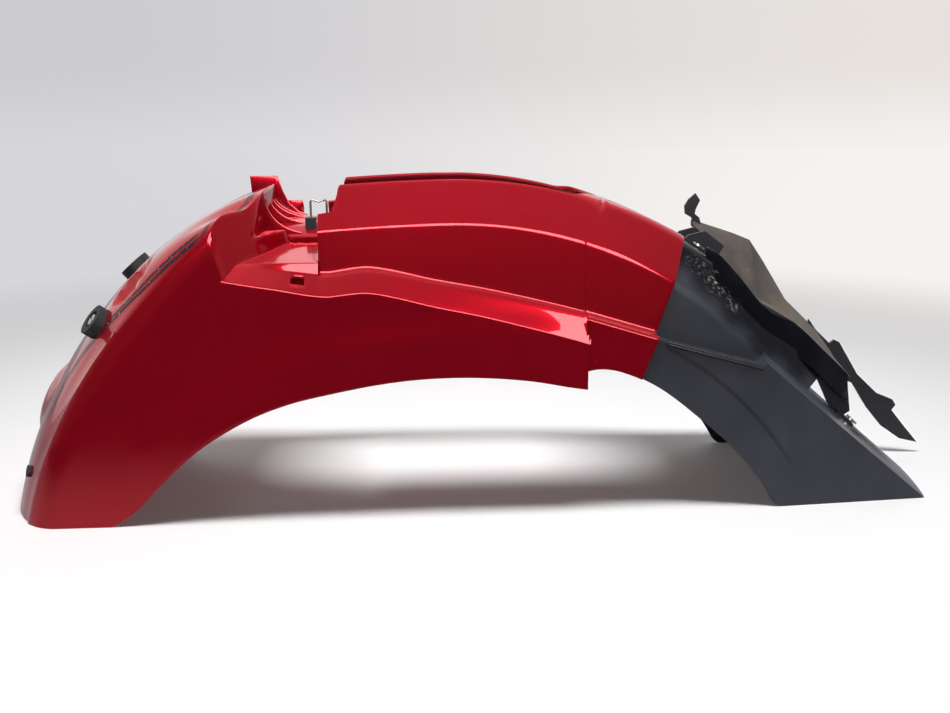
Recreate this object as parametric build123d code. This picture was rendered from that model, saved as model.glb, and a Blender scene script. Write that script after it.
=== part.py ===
from build123d import *
import math
import os

# Rear mudguard of a cruiser motorcycle, in millimetres.
# X runs forward along the machine, Y across it and Z up; the skirts stand on Z = 0.
# The shape is laid out round the wheel axle, then everything is moved so that the
# origin lies at the bottom centre of the whole part.

# Wheel axle and crown
axle_x = -65.5
axle_z = -66.0
crown_radius = 390.0
half_width = 105.0
wall = 3.0
shoulder_depth = 60.0
crown_depth = 250.0
tail_end_angle = 176.0
nose_angle = 100.0
square_angle = 108.0
round_shoulder = 1.9
square_shoulder = 5.0
crown_flat = 6.5
flat_start_angle = 112.0
flat_end_angle = 186.0
nose_radius = 240.0
nose_tip_x = -189.0
nose_corner_x = -171.4
nose_corner_z = 253.3
nose_sweep = 45.7
nose_lean = 15.6

# Shelf between the skirts and the tunnel
shelf_width = 13.0
shelf_rise_rear = 13.0
shelf_rise_front = 25.0
shelf_rear_x = -243.0
shelf_rear_z = 229.5
shelf_dip_x = -138.0
shelf_dip_z = 212.0
shelf_hump_x = -97.0
shelf_hump_z = 215.0
shelf_bend_x = 1.0
shelf_bend_z = 194.0
skirt_end_x = 101.0
shelf_end_z = 166.0

# Wheel arch
arch_rear_x = -322.0
arch_rise_x = -231.0
arch_rise_z = 88.0
arch_top_x = -35.0
arch_top_z = 136.0
arch_step_z = 124.0
arch_step_height = 16.0
arch_front_x = 203.0
arch_front_z = 96.0
arch_foot_x = 288.0
arch_corner_radius = 14.0

# Tunnel under the seat
tunnel_start_x = -143.0
tunnel_top_x = -20.0
tunnel_top_z = 315.0
tunnel_start_drop = 6.0
tunnel_radius = 442.0
tunnel_sweep = 56.0
tunnel_top_half = 52.0
tunnel_crease_half = 80.0
tunnel_crease_depth = 42.0
tunnel_base_half = 92.0
tunnel_depth = 150.0
top_corner_radius = 14.0
crease_radius_rear = 7.0
crease_radius_front = 30.0
slot_half_width = 54.0
slot_end_x = 122.0
slot_corner_radius = 34.0
slot_start_x = -146.0
notch_x = -131.0
notch_z = 283.0
notch_top_x = -125.0
notch_top_z = 304.0

# Recess between the tail and the tunnel
deck_half_width = 45.0
deck_edge_z = 258.7
deck_camber = 15.0
deck_front_x = -150.0
ledge_rim_half = 86.0
ledge_rim_z = 240.0
step_front_x = -175.5
step_half_width = 88.0
step_edge_z = 258.5
step_height = 6.3

# Front section
front_half_width = 102.0
front_tip_half = 90.0
front_lap = 20.0
front_clearance = 0.3
ridge_x = 162.0
ridge_z = 172.0
ridge_drop_x = 271.0
ridge_drop_z = 142.0
shield_start_x = 296.0
shield_start_z = 125.0
shield_slope = 40.5
shield_camber = 15.0
tip_x = 450.0
swage_depth = 1.5

# Seam between the painted and the black moulding
seam_x = 102.5
seam_lean = 20.8
well_start_x = 228.0
well_start_z = 216.0
well_bend_x = 281.0
well_bend_z = 166.0
well_end_x = 330.0
well_end_z = 137.0

# Hump for the lamp wires, scoops and the slot in the shelf
hump_angle = 154.5
hump_half_length = 39.0
hump_half_width = 27.0
hump_height = 7.0
scoop_angle = 130.6
scoop_half_y = half_width - 39.0
scoop_half_length = 29.0
scoop_half_breadth = 15.0
scoop_half_depth = 11.0
shelf_slot_x = -162.0
shelf_slot_length = 10.0
shelf_slot_width = 5.5

# Ribs, tab and flange round the recess
rib_width = 3.0
rib_pitch = 16.0
rib_count = 4
rib_top_z = 292.0
rib_foot_x = -160.0
tab_y = 18.0
tab_top_z = 311.0
tab_rear_x = -214.0
flange_y = 46.0
flange_start_x = -188.0
flange_end_x = -167.0
flange_top_z = 285.0

# Lamp pads with their screws, washers and nuts
pad_radius = 15.0
pad_height = 8.0
pad_recess_radius = 8.5
pad_recess_depth = 5.0
top_pad_angle = 131.5
low_pad_angle = 138.5
low_pad_y = half_width - 43.0
pad_boss_radius = 9.0
pad_boss_depth = 4.4
screw_radius = 3.0
screw_clearance = 0.25
screw_head_radius = 5.5
screw_head_height = 3.5
washer_radius = 7.5
washer_height = 1.0
nut_radius = 5.5
nut_height = 5.0
thread_radius = 2.5
collar_radius = 6.0
collar_height = 1.2
collar_body_radius = 4.0
collar_body_length = 9.0

# Wire clip and its holder, rubber button
wire_radius = 1.0
clip_y = -30.0
clip_rear_x = -152.5
clip_front_x = -137.5
clip_top_z = 292.0
clip_foot_z = 271.0
clip_dip = 2.5
holder_length = 10.0
holder_width = 12.0
holder_skirt = 3.0
button_angle = 163.0
button_y = 40.0 - half_width
button_radius = 5.5
button_height = 2.5
button_stem_radius = 3.0

# Splash guard over the black moulding
guard_wall = 3.0
guard_half = 50.0
guard_start_x = 234.0
guard_end_x = 377.0
guard_flange = 20.0
guard_strut_x = 219.0
guard_strut_y = 26.0
guard_foot_x = 372.0
guard_foot_y = 43.0
guard_foot_half = 9.0
rivet_radius = 3.3
rivet_clearance = 0.2
rivet_head_radius = 6.5
rivet_head_height = 2.0
rivet_end_radius = 4.2
rivet_end_length = 4.0


def crown_power(angle):
    share = min(1, (tail_end_angle - angle) / (tail_end_angle - square_angle))
    return round_shoulder + (square_shoulder - round_shoulder) * share ** 4


def crown_reach(angle):
    """Distance of the crown's middle line from the axle: a circle, slightly flattened at the lamp."""
    share = (angle - flat_start_angle) / (flat_end_angle - flat_start_angle)
    return crown_radius - crown_flat * math.sin(math.pi * min(1, max(0, share))) ** 2


def axle_point(angle, radius, y):
    a = math.radians(angle)
    return (axle_x + radius * math.cos(a), y, axle_z + radius * math.sin(a))


def crown_section(angle, power, inset):
    """Cross-section of the tail on a plane through the axle: a superellipse over straight walls."""
    width = half_width - inset
    top = crown_reach(angle) - inset
    count = 12
    arc = []
    for i in range(count + 1):
        turn = math.pi * i / count
        side = math.copysign(abs(math.cos(turn)) ** (2 / power), math.cos(turn))
        rise = math.sin(turn) ** (2 / power) if 0 < i < count else 0.0
        arc.append(axle_point(angle, top - shoulder_depth * (1 - rise), width * side))
    foot_right = axle_point(angle, crown_radius - crown_depth, width)
    foot_left = axle_point(angle, crown_radius - crown_depth, -width)
    edges = [Line(foot_right, arc[0]), Spline(*arc), Line(arc[-1], foot_left), Line(foot_left, foot_right)]
    return make_face(Wire(edges))


def tail_form(inset):
    """Round crown of the tail, squarer towards its front edge, ending in a round nose between swept walls."""
    stations = 8
    sections = []
    for i in range(stations + 1):
        share = i / stations
        angle = tail_end_angle + (nose_angle - tail_end_angle) * share
        sections.append(crown_section(angle, crown_power(angle), inset))
    crown = loft(sections)
    middle = nose_tip_x - nose_radius
    nose = Pos(middle, 0, 0) * Cylinder(nose_radius - inset, 4 * crown_radius)
    behind = Pos(middle - 2 * crown_radius, 0, 0) * Box(4 * crown_radius, 4 * half_width, 4 * crown_radius)
    return behind_walls(crown & (nose + behind), inset)


def behind_walls(body, inset):
    """What lies behind the two swept walls that lean back beside the nose."""
    size = 6 * crown_radius
    forward = math.cos(math.radians(nose_sweep))
    outward = math.sin(math.radians(nose_sweep))
    for side in (-1, 1):
        normal = Vector(forward, side * outward, forward * math.tan(math.radians(nose_lean))).normalized()
        corner = Vector(nose_corner_x, side * deck_half_width, nose_corner_z)
        plane = Plane(origin=corner - normal * inset, x_dir=(0, 0, 1), z_dir=normal)
        body -= plane * (Pos(0, 0, size / 2) * Box(size, size, size))
    return body


shelf_outline = [
    (shelf_rear_x, shelf_rear_z),
    (shelf_dip_x, shelf_dip_z),
    (shelf_hump_x, shelf_hump_z),
    (shelf_bend_x, shelf_bend_z),
    (skirt_end_x, shelf_end_z),
]
side_floor_z = -40.0


def shelf_rise(x):
    """Height of the tunnel's foot above the outer edge of the shelf."""
    share = (x - shelf_rear_x) / (skirt_end_x - shelf_rear_x)
    return shelf_rise_rear + (shelf_rise_front - shelf_rise_rear) * share


def side_wire(top_points, y, end_x, drop):
    """Closed outline in a plane of constant Y, under the given top line."""
    points = [(x, y, z - drop) for x, z in top_points]
    foot = [(end_x, y, side_floor_z), (top_points[0][0], y, side_floor_z)]
    return Wire(Polyline(*points, *foot, close=True))


def skirt_form(inset):
    """Skirts with the sloping shelf above them, up to the foot of the tunnel."""
    outer_y = half_width - inset
    inner_y = half_width - shelf_width - inset
    end_x = skirt_end_x - inset
    lower = [(min(x, end_x), z) for x, z in shelf_outline]
    upper = [(x, z + shelf_rise(x)) for x, z in lower]
    body = extrude(make_face(side_wire(upper, 0, end_x, inset)), amount=inner_y, dir=(0, 1, 0), both=True)
    for side in (-1, 1):
        low = make_face(side_wire(lower, side * outer_y, end_x, inset))
        high = make_face(side_wire(upper, side * inner_y, end_x, inset))
        body += loft([low, high], ruled=True)
    return body


def across(points, start_x, end_x):
    """Prism along X under a symmetric roof given as half-profile points from the outside in."""
    half = [(-y, z) for y, z in points]
    other = [(y, z) for y, z in reversed(points)]
    feet = [(points[0][0], side_floor_z), (-points[0][0], side_floor_z)]
    outline = [(start_x, y, z) for y, z in half + other + feet]
    return extrude(make_face(Wire(Polyline(*outline, close=True))), amount=end_x - start_x, dir=(1, 0, 0))


def deck_form(inset):
    """Ledge, step and crowned deck between the tail and the tunnel."""
    ledge_half = half_width - shelf_width - inset
    ledge_low = shelf_dip_z + shelf_rise(shelf_dip_x) - inset
    start_x = nose_tip_x - 50
    ledge = across([(ledge_half, ledge_low), (ledge_rim_half - inset, ledge_rim_z - inset),
                    (deck_half_width, nose_corner_z - inset)], start_x, tunnel_start_x + wall)
    step = across([(step_half_width - inset, step_edge_z - inset),
                   (deck_half_width, deck_edge_z + step_height - inset),
                   (deck_half_width / 2, deck_edge_z + step_height + 0.75 * deck_camber - inset)],
                  start_x, step_front_x - inset)
    ledge += behind_walls(step, inset)
    deck_half = deck_half_width - inset
    edge_z = deck_edge_z - inset
    roof = Polyline((start_x, deck_half, edge_z), (start_x, deck_half, side_floor_z),
                    (start_x, -deck_half, side_floor_z), (start_x, -deck_half, edge_z))
    arc = ThreePointArc((start_x, -deck_half, edge_z), (start_x, 0, edge_z + deck_camber),
                        (start_x, deck_half, edge_z))
    face = make_face(Wire(roof.edges() + arc.edges()))
    return ledge + extrude(face, amount=deck_front_x - inset - start_x, dir=(1, 0, 0))


def tunnel_station(angle, length):
    """Place and direction on the tunnel's top line: a straight rise, then a long arc."""
    if angle <= 0:
        slope = math.atan2(tunnel_start_drop, tunnel_top_x - tunnel_start_x)
        x = tunnel_top_x - length * math.cos(slope)
        return x, tunnel_top_z - length * math.sin(slope), slope
    a = math.radians(angle)
    x = tunnel_top_x + tunnel_radius * math.sin(a)
    return x, tunnel_top_z - tunnel_radius * (1 - math.cos(a)), -a


def tunnel_section(angle, length, crease_radius, inset):
    x, z, slope = tunnel_station(angle, length)
    direction = (math.cos(slope), 0, math.sin(slope))
    plane = Plane(origin=(x, 0, z), x_dir=(0, 1, 0), z_dir=direction)
    top = tunnel_top_half - 0.6 * inset
    crease = tunnel_crease_half - inset
    base = tunnel_base_half - inset
    crease_depth = tunnel_crease_depth + 0.4 * inset
    outline = Polyline((-base, -tunnel_depth), (-crease, -crease_depth), (-top, -inset), (top, -inset),
                       (crease, -crease_depth), (base, -tunnel_depth), close=True)
    face = make_face(outline)
    tops = [v for v in face.vertices() if v.Y > -inset - 1]
    face = fillet(tops, top_corner_radius)
    creases = [v for v in face.vertices() if abs(v.Y + crease_depth) < 1]
    face = fillet(creases, crease_radius)
    return plane * face


def tunnel_form(inset):
    """High middle of the mudguard: two leaning walls and a top that rounds off towards the front."""
    length = tunnel_top_x - tunnel_start_x + 25
    sections = [tunnel_section(0, length, crease_radius_rear, inset)]
    stations = 5
    for i in range(stations + 1):
        share = i / stations
        angle = tunnel_sweep * share
        radius = crease_radius_rear + (crease_radius_front - crease_radius_rear) * share
        sections.append(tunnel_section(max(angle, 0.01), 0, radius, inset))
    body = loft(sections)
    keep = Pos(tunnel_start_x + 500 - 0.001 * inset, 0, 0) * Box(1000, 1000, 1000)
    return body & keep


def front_form(inset):
    """Low front body under the ridge, and the crowned shield that runs down to the floor."""
    half = front_half_width - inset
    fall = math.tan(math.radians(shield_slope))
    foot_x = shield_start_x + (shield_start_z - side_floor_z) / fall
    start_x = skirt_end_x
    top = [(start_x, shelf_end_z + shelf_rise_front), (ridge_x, ridge_z), (ridge_drop_x, ridge_drop_z),
           (shield_start_x, shield_start_z), (foot_x, side_floor_z)]
    points = [(x, 0, z - inset) for x, z in top]
    face = make_face(Wire(Polyline(*points, (start_x, 0, side_floor_z), close=True)))
    body = extrude(face, amount=half, dir=(0, 1, 0), both=True)
    angle = math.radians(shield_slope)
    plane = Plane(origin=(shield_start_x - 25, 0, shield_start_z + 25 * fall - inset), x_dir=(0, 1, 0),
                  z_dir=(math.cos(angle), 0, -math.sin(angle)))
    bow = make_face(ThreePointArc((-half, 0), (0, shield_camber), (half, 0)).edges()
                    + Polyline((half, 0), (half, -60), (-half, -60), (-half, 0)).edges())
    shield = extrude(plane * bow, amount=1.2 * (foot_x - shield_start_x) / math.cos(angle))
    tip_half = front_tip_half - inset
    end_x = tip_x - inset
    plan = Polyline((start_x, half), (shield_start_x, half), (end_x, tip_half), (end_x, -tip_half),
                    (shield_start_x, -half), (start_x, -half), close=True)
    body = (body + shield) & extrude(make_face(plan), amount=600, both=True)
    link_half = tunnel_crease_half + 6
    link = box_between((skirt_end_x - 2 * wall - inset, -link_half, side_floor_z),
                       (skirt_end_x + 2 * wall, link_half, shelf_end_z - inset))
    return body + link


def box_between(low, high):
    size = [b - a for a, b in zip(low, high)]
    return Pos(*[(a + b) / 2 for a, b in zip(low, high)]) * Box(*size)


def arch_cutter():
    """Everything below the lower edges of the skirts, right through the part."""
    step_z = arch_step_z + arch_step_height
    rear = Spline((arch_rear_x, 0), (arch_rise_x, arch_rise_z), (arch_top_x, arch_top_z),
                  (skirt_end_x, arch_step_z), tangents=[(0.45, 1), (1, -0.17)])
    front = Spline((skirt_end_x, step_z), (arch_front_x, arch_front_z), (arch_foot_x, 0),
                   tangents=[(1, 0.05), (0.5, -1)])
    low = 3 * side_floor_z
    edges = rear.edges() + Line((skirt_end_x, arch_step_z), (skirt_end_x, step_z)).edges() + front.edges()
    below = Polyline((arch_foot_x, 0), (700, 0), (700, low), (-700, low), (-700, 0), (arch_rear_x, 0))
    edges += below.edges()
    face = make_face(edges)
    corners = [v for v in face.vertices() if abs(v.Y) < 0.01 and abs(v.X) < 400]
    face = fillet(corners, arch_corner_radius)
    return extrude(Plane.XZ * face, amount=300, both=True)


def seam_block(shift):
    """Everything behind the seam plane, moved forward by the shift."""
    lean = math.radians(seam_lean)
    plane = Plane(origin=(seam_x + shift, 0, 0), x_dir=(0, 1, 0), z_dir=(-math.cos(lean), 0, math.sin(lean)))
    return plane * extrude(Rectangle(800, 1600), amount=1000)


def full_form(inset):
    return tail_form(inset) + skirt_form(inset) + deck_form(inset) + tunnel_form(inset) + front_form(inset)


def crown_sink(y, angle):
    """How far the crown's surface lies below its middle line at a distance Y from it."""
    power = crown_power(angle)
    return shoulder_depth * (1 - (1 - (abs(y) / half_width) ** power) ** (1 / power))


def crown_frame(angle, y):
    """Frame on the tail's crown with Z along the surface normal and X up along the crown."""
    a = math.radians(angle)
    place = axle_point(angle, crown_reach(angle) - crown_sink(y, angle), y)
    plane = Plane(origin=place, x_dir=(-math.sin(a), 0, math.cos(a)), z_dir=(math.cos(a), 0, math.sin(a)))
    lean = math.degrees(math.atan((crown_sink(abs(y) + 1, angle) - crown_sink(abs(y) - 1, angle)) / 2))
    turn = 0 if y == 0 else math.copysign(lean, plane.y_dir.Y * y)
    return plane * Rot(-turn, 0, 0)


def ellipsoid(length, breadth, depth):
    return scale(Sphere(1), (length, breadth, depth))


def hump(inset):
    body = ellipsoid(hump_half_length - inset, hump_half_width - inset, hump_height - inset)
    return crown_frame(hump_angle, 0) * body


def scoop(side, extra):
    body = ellipsoid(scoop_half_length + extra, scoop_half_breadth + extra, scoop_half_depth + extra)
    return crown_frame(scoop_angle, side * scoop_half_y) * body


def rod(radius, low, high):
    """Round bar along Z between two heights."""
    return Pos(0, 0, (low + high) / 2) * Cylinder(radius, high - low)


def slot_cutter():
    """Long opening in the tunnel's roof with a rounded front end, and the stepped rear corners."""
    bend_x = slot_end_x - slot_corner_radius
    bend_y = slot_half_width - slot_corner_radius
    low = nose_corner_z - 20
    body = box_between((slot_start_x, -slot_half_width, low), (bend_x, slot_half_width, 400))
    body += box_between((bend_x - 1, -bend_y, low), (slot_end_x, bend_y, 400))
    for side in (-1, 1):
        body += Pos(bend_x, side * bend_y, low + 200) * Cylinder(slot_corner_radius, 400)
    body -= box_between((0, -slot_half_width, low - 300), (slot_end_x, slot_half_width, deck_edge_z))
    rear_x = tunnel_start_x - 20
    corner = Polyline((rear_x, notch_z), (notch_x, notch_z), (notch_top_x - 1, notch_top_z - 6),
                      (notch_top_x, notch_top_z), (notch_top_x + 7, tunnel_top_z), (rear_x, tunnel_top_z),
                      close=True)
    return body + extrude(Plane.XZ * make_face(corner), amount=200, both=True) - tail_guard()


def tail_guard():
    return box_between((-600, -300, -100), (deck_front_x, 300, 500))


def recess_fittings():
    """Concave ribs, upright tab and small flange between the nose and the deck."""
    parts = []
    nose_x = nose_tip_x
    for i in range(rib_count):
        y = -(i - 0.5) * rib_pitch
        top = (nose_x - 2 * wall, rib_top_z)
        foot = (rib_foot_x, deck_edge_z + deck_camber * (1 - (y / deck_half_width) ** 2))
        curve = ThreePointArc(top, ((top[0] + foot[0]) / 2 - 5, (top[1] + foot[1]) / 2 - 5), foot)
        rest = Polyline(foot, (foot[0], deck_edge_z), (top[0], deck_edge_z), top)
        face = Plane.XZ * make_face(curve.edges() + rest.edges())
        parts.append(Pos(0, y, 0) * extrude(face, amount=rib_width / 2, both=True))
    tab_end_x = nose_x + 1
    outline = Polyline((tab_rear_x, tab_top_z), (tab_end_x - 3, tab_top_z), (tab_end_x, rib_top_z),
                       (tab_end_x, deck_edge_z), (tab_rear_x + 6, deck_edge_z), close=True)
    parts.append(Pos(0, tab_y, 0) * extrude(Plane.XZ * make_face(outline), amount=wall / 2, both=True))
    web = Polyline((tab_end_x, tab_y, tab_top_z), (tab_end_x, -rib_pitch, rib_top_z + 2),
                   (tab_end_x, -rib_pitch, deck_edge_z), (tab_end_x, tab_y, deck_edge_z), close=True)
    parts.append(extrude(make_face(web), amount=wall, dir=(-1, 0, 0)))
    parts.append(box_between((flange_start_x, flange_y - wall, deck_edge_z - 8),
                             (flange_end_x, flange_y, flange_top_z)))
    return parts


def swage(side):
    """Slightly proud band along the lower skirt, below a swept line."""
    line = Spline((-311, 74), (-251, 120), (-178, 160), (-89, 177), (1, 183), (skirt_end_x, 170))
    rest = Polyline((skirt_end_x, 170), (skirt_end_x, 0), (-311, 0), (-311, 74))
    face = Plane.XZ.offset(-side * (half_width - 1)) * make_face(line.edges() + rest.edges())
    return extrude(face, amount=1 + swage_depth, dir=(0, side, 0))


def well(inset):
    """Room above the lowered crown of the black moulding, under the splash guard."""
    points = [(well_start_x, 400), (well_start_x, well_start_z), (well_bend_x, well_bend_z),
              (well_end_x, well_end_z), (well_end_x + 70, well_end_z - 67), (well_end_x + 70, 400)]
    moved = [(x - 0.7 * inset, z - 0.7 * inset) for x, z in points]
    return extrude(Plane.XZ * make_face(Polyline(*moved, close=True)), amount=200, both=True)


def black_tunnel(inset):
    return tunnel_form(front_gap + inset) - well(inset)


def level(points, x):
    """Height of a broken line at X."""
    for (x0, z0), (x1, z1) in zip(points, points[1:]):
        if x <= x1:
            break
    return z0 + (z1 - z0) * (x - x0) / (x1 - x0)


far_line = [(234, 262), (278, 248), (298, 240), (320, 209), (341, 176), (370, 149), (393, 127)]
fold_line = [(234, 243), (252, 224), (287, 183), (335, 161), (377, 123)]
near_line = [(234, 227), (266, 191), (281, 190), (314, 171), (347, 140), (377, 113)]


def guard_section(x):
    far = level(far_line, x)
    fold = level(fold_line, x)
    near = level(near_line, x)
    drop = min(guard_flange, 4 + 0.5 * (x - guard_start_x), 4 + 0.6 * (guard_end_x - x))
    edge = guard_half - guard_wall
    low = 1.3 * guard_wall
    points = [(guard_half, far), (8, fold + 6), (-8, fold), (-guard_half, near), (-guard_half, near - drop),
              (-edge, near - drop), (-edge, near - low), (-8, fold - low), (8, fold + 6 - low),
              (guard_half, far - 2 * guard_wall)]
    return make_face(Wire(Polyline(*[(x, y, z) for y, z in points], close=True)))


def upright(points, y):
    """Plate of the guard's thickness standing along X, given by its outline."""
    face = Plane.XZ * make_face(Polyline(*points, close=True))
    return Pos(0, y, 0) * extrude(face, amount=guard_wall / 2, both=True)


def splash_guard():
    """Folded tray over the black moulding with a hook, a long flap, two struts and two gussets."""
    stations = [guard_start_x, 252, 266, 281, 298, 314, 341, guard_end_x - 1]
    body = loft([guard_section(x) for x in stations], ruled=True)
    y = guard_half - guard_wall / 2
    hook = [(234, 264), (227, 268), (226, 276), (230, 283), (237, 289), (242, 282), (238, 273), (237, 268),
            (242, 264), (246, 252), (240, 250)]
    body += upright(hook, y)
    flap = [(368, 154), (376, 143), (393, 127), (398, 131), (404, 128), (427, 92), (451, 70), (470, 62),
            (474, 56), (470, 50), (487, 30), (503, 12), (482, 17), (460, 32), (441, 54), (419, 87),
            (396, 112), (366, 138)]
    body += upright(flap, y)
    for side in (-1, 1):
        x = guard_strut_x
        crown = tunnel_top_z - tunnel_radius + math.sqrt(tunnel_radius ** 2 - (x - tunnel_top_x) ** 2)
        strut = [(x - 9, crown + 6), (x + 6, crown - 6), (x + 22, crown - 16), (x + 30, crown - 2),
                 (x + 10, crown + 13), (x - 6, crown + 9)]
        body += upright(strut, side * (guard_strut_y - guard_foot_half))
        y = side * guard_strut_y
        foot = box_between((x - guard_foot_half, y - guard_foot_half, 0),
                           (x + guard_foot_half - 1, y + guard_foot_half, 400))
        body += foot & tunnel_form(front_clearance)
    x = guard_foot_x
    shield_z = shield_start_z - (x - shield_start_x) * math.tan(math.radians(shield_slope))
    gusset = [(x - 38, shield_z + 68), (x - 2, shield_z + 58), (x + 5, shield_z + 20),
              (x - 4, shield_z + 14), (x - 18, shield_z + 28)]
    body += upright(gusset, -guard_half + guard_wall / 2)
    foot = box_between((x - guard_foot_half, -guard_foot_y - guard_foot_half, 0),
                       (x + guard_foot_half, -guard_foot_y + guard_foot_half, 400))
    body += foot & front_form(front_clearance)
    return body - tunnel_form(front_gap) - front_form(front_gap)


def rivet_frames():
    """Frames on the black moulding's surface under the feet of the splash guard."""
    frames = {}
    reach = tunnel_radius - front_gap
    a = math.asin((guard_strut_x - tunnel_top_x) / reach)
    z = tunnel_top_z - tunnel_radius + reach * math.cos(a)
    slope = math.radians(shield_slope)
    half = front_half_width - front_gap
    bow_radius = (half ** 2 + shield_camber ** 2) / (2 * shield_camber)
    lean = math.asin(guard_foot_y / bow_radius)
    rise = shield_camber - bow_radius * (1 - math.cos(lean))
    run = (guard_foot_x - shield_start_x) / math.cos(slope)
    foot_x = shield_start_x + run * math.cos(slope) + rise * math.sin(slope)
    foot_z = shield_start_z - front_gap - run * math.sin(slope) + rise * math.cos(slope)
    for name, side in sides.items():
        strut = Plane(origin=(guard_strut_x, side * guard_strut_y, z), x_dir=(0, 1, 0),
                      z_dir=(math.sin(a), 0, math.cos(a)))
        frames["rear_" + name] = strut * Pos(0, 0, 0)
    foot = Plane(origin=(foot_x, -guard_foot_y, foot_z), x_dir=(0, 1, 0),
                 z_dir=(math.sin(slope), 0, math.cos(slope)))
    frames["front_right"] = foot * Rot(0, -math.degrees(lean), 0)
    return frames


def seat_clip():
    """Bent wire: two legs joined by a dipped bar, the front leg turned back at its foot."""
    middle = (clip_rear_x + clip_front_x) / 2
    points = [(clip_rear_x, clip_foot_z - 3), (clip_rear_x, clip_top_z), (middle, clip_top_z - clip_dip),
              (clip_front_x, clip_top_z), (clip_front_x, clip_foot_z), (clip_rear_x + 3.5, clip_foot_z)]
    path = FilletPolyline(*[(x, clip_y, z) for x, z in points], radius=2.2)
    start = Plane(origin=path @ 0, z_dir=path % 0)
    return sweep(start * Circle(wire_radius), path=path)


pad_places = {
    "top": (top_pad_angle, 0),
    "right": (low_pad_angle, -low_pad_y),
    "left": (low_pad_angle, low_pad_y),
}
front_gap = wall + front_clearance
sides = {"right": -1, "left": 1}
nodes = {}

outside = full_form(0)
arch = arch_cutter()
red = outside & seam_block(0)
hollow = full_form(wall) + hump(wall)
red += hump(0)
for side in sides.values():
    red += swage(side)
    red -= scoop(side, 0)
    hollow -= scoop(side, wall)
red -= hollow
for fitting in recess_fittings():
    red += fitting
red -= slot_cutter()
red -= arch

black = black_tunnel(0) + front_form(front_gap)
black -= seam_block(-front_lap)
black -= arch
black -= front_form(front_gap + wall)
black -= black_tunnel(wall)

for name, (angle, y) in pad_places.items():
    frame = crown_frame(angle, y)
    shank = screw_radius + screw_clearance
    red += frame * rod(pad_boss_radius, -pad_boss_depth, -wall / 2)
    red -= frame * rod(shank, -pad_boss_depth - 5, 10)
    floor = pad_height - pad_recess_depth
    pad = frame * rod(pad_radius, -wall / 2, pad_height) - outside
    pad -= frame * rod(pad_recess_radius, floor, pad_height + 1)
    pad -= frame * rod(shank, -wall, pad_height)
    nodes["lamp_pad_" + name] = pad
    top = floor + washer_height
    nodes["pad_washer_" + name] = frame * (rod(washer_radius, floor, top) - rod(shank, floor - 1, top + 1))
    head = rod(screw_head_radius, top, top + screw_head_height)
    head -= Pos(0, 0, top + screw_head_height) * Box(1.2, 2 * screw_head_radius, 2.4)
    end = -pad_boss_depth - nut_height - 2
    nodes["pad_screw_" + name] = frame * (head + rod(screw_radius, end, top))
    nut = extrude(RegularPolygon(nut_radius, 6), amount=nut_height) - rod(screw_radius, -1, nut_height + 1)
    nodes["pad_nut_" + name] = frame * (Pos(0, 0, -pad_boss_depth - nut_height) * nut)

for name, side in sides.items():
    frame = crown_frame(scoop_angle, side * scoop_half_y)
    seat = wall / 2 - scoop_half_depth
    red += frame * rod(collar_radius + 1.5, seat - 2 * wall, seat)
    red -= frame * rod(collar_body_radius, seat - 3 * wall, seat + 1)
    collar = rod(collar_radius, seat, seat + collar_height)
    collar += rod(collar_body_radius, seat - collar_body_length, seat)
    nodes["lamp_nut_" + name] = frame * (collar - rod(thread_radius, -40, 10))
    slot = Pos(shelf_slot_x, side * (half_width - shelf_width / 2), 0)
    red -= slot * Box(shelf_slot_length, shelf_slot_width, 600)

frame = crown_frame(button_angle, button_y)
red -= frame * rod(button_stem_radius, -3 * wall, wall)
button = frame * rod(button_radius, -wall / 2, button_height) - outside
nodes["tail_button"] = button + frame * rod(button_stem_radius, -2 * wall, button_height / 2)

clip = seat_clip()
holder_z = clip_foot_z + 4
holder_foot_z = deck_edge_z + deck_camber / 2 - holder_skirt
holder = box_between((clip_rear_x - holder_length / 2, clip_y - holder_width / 2, holder_foot_z),
                     (clip_rear_x + holder_length / 2, clip_y + holder_width / 2, holder_z))
deck_block = deck_form(0)
nodes["clip_holder"] = holder - deck_block - clip
nodes["seat_clip"] = clip

guard = splash_guard()
for name, frame in rivet_frames().items():
    hole = frame * rod(rivet_radius + rivet_clearance, -3 * wall, 3 * wall)
    guard -= hole
    black -= hole
    head = rod(rivet_head_radius, guard_wall, guard_wall + rivet_head_height)
    stem = rod(rivet_radius, -wall, guard_wall)
    end = rod(rivet_end_radius, -wall - 0.2 - rivet_end_length, -wall - 0.2)
    nodes["guard_rivet_" + name] = frame * (head + stem + end + rod(rivet_radius, -wall - 1, -wall + 1))
nodes["rear_mudguard"] = red
nodes["front_mudguard"] = black
nodes["splash_guard"] = guard

centre_x = (min(n.bounding_box().min.X for n in nodes.values())
            + max(n.bounding_box().max.X for n in nodes.values())) / 2
os.makedirs("parts", exist_ok=True)
for name, node in nodes.items():
    moved = Pos(-centre_x, 0, 0) * node
    moved.label = name
    export_step(moved, f"parts/{name}.step")
    box = moved.bounding_box()
    print(name, node.is_valid, len(node.solids()), round(node.volume),
          [round(v, 1) for v in (*box.min, *box.max)])
print("shift", centre_x)
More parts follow.
